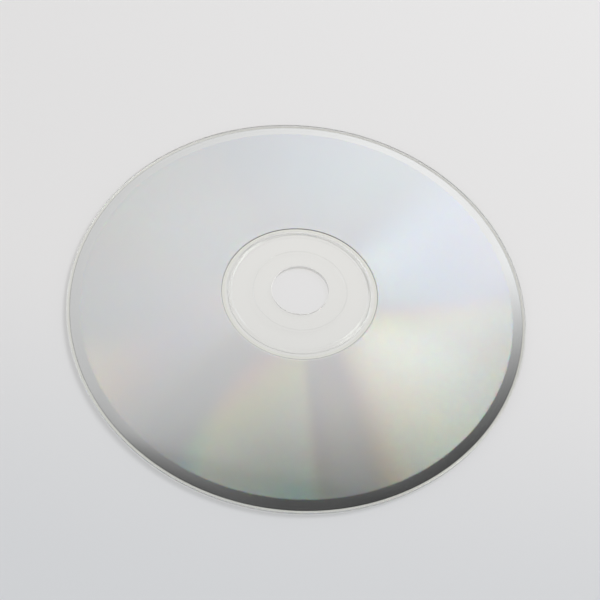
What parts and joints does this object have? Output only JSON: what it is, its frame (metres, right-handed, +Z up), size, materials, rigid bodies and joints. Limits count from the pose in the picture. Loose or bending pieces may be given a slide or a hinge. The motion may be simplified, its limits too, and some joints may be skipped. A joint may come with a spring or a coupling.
{
  "type": "compact disc",
  "caption": "Flat round optical disc: a clear moulded plate with a centre hole and stacking ring, a mirror layer seen through it, and a thin lacquer coat.",
  "frame": {"origin": "centre of the label-side face that the disc lies on, under the middle of the centre hole", "axes": "+Z up along the disc's axis, out of the read side; X and Y lie in the disc"},
  "size_m": [0.12, 0.12, 0.0014],
  "materials": {
    "clear_plastic": "clear moulded polycarbonate, polished",
    "mirror_metal": "bright metal film that shows faint rainbow colours where the fine track is pressed",
    "clear_lacquer": "clear gloss lacquer"
  },
  "bodies": {
    "root": {"clear_disc": "clear_plastic", "reflective_layer": "mirror_metal", "lacquer_coat": "clear_lacquer"}
  },
  "joints": []
}
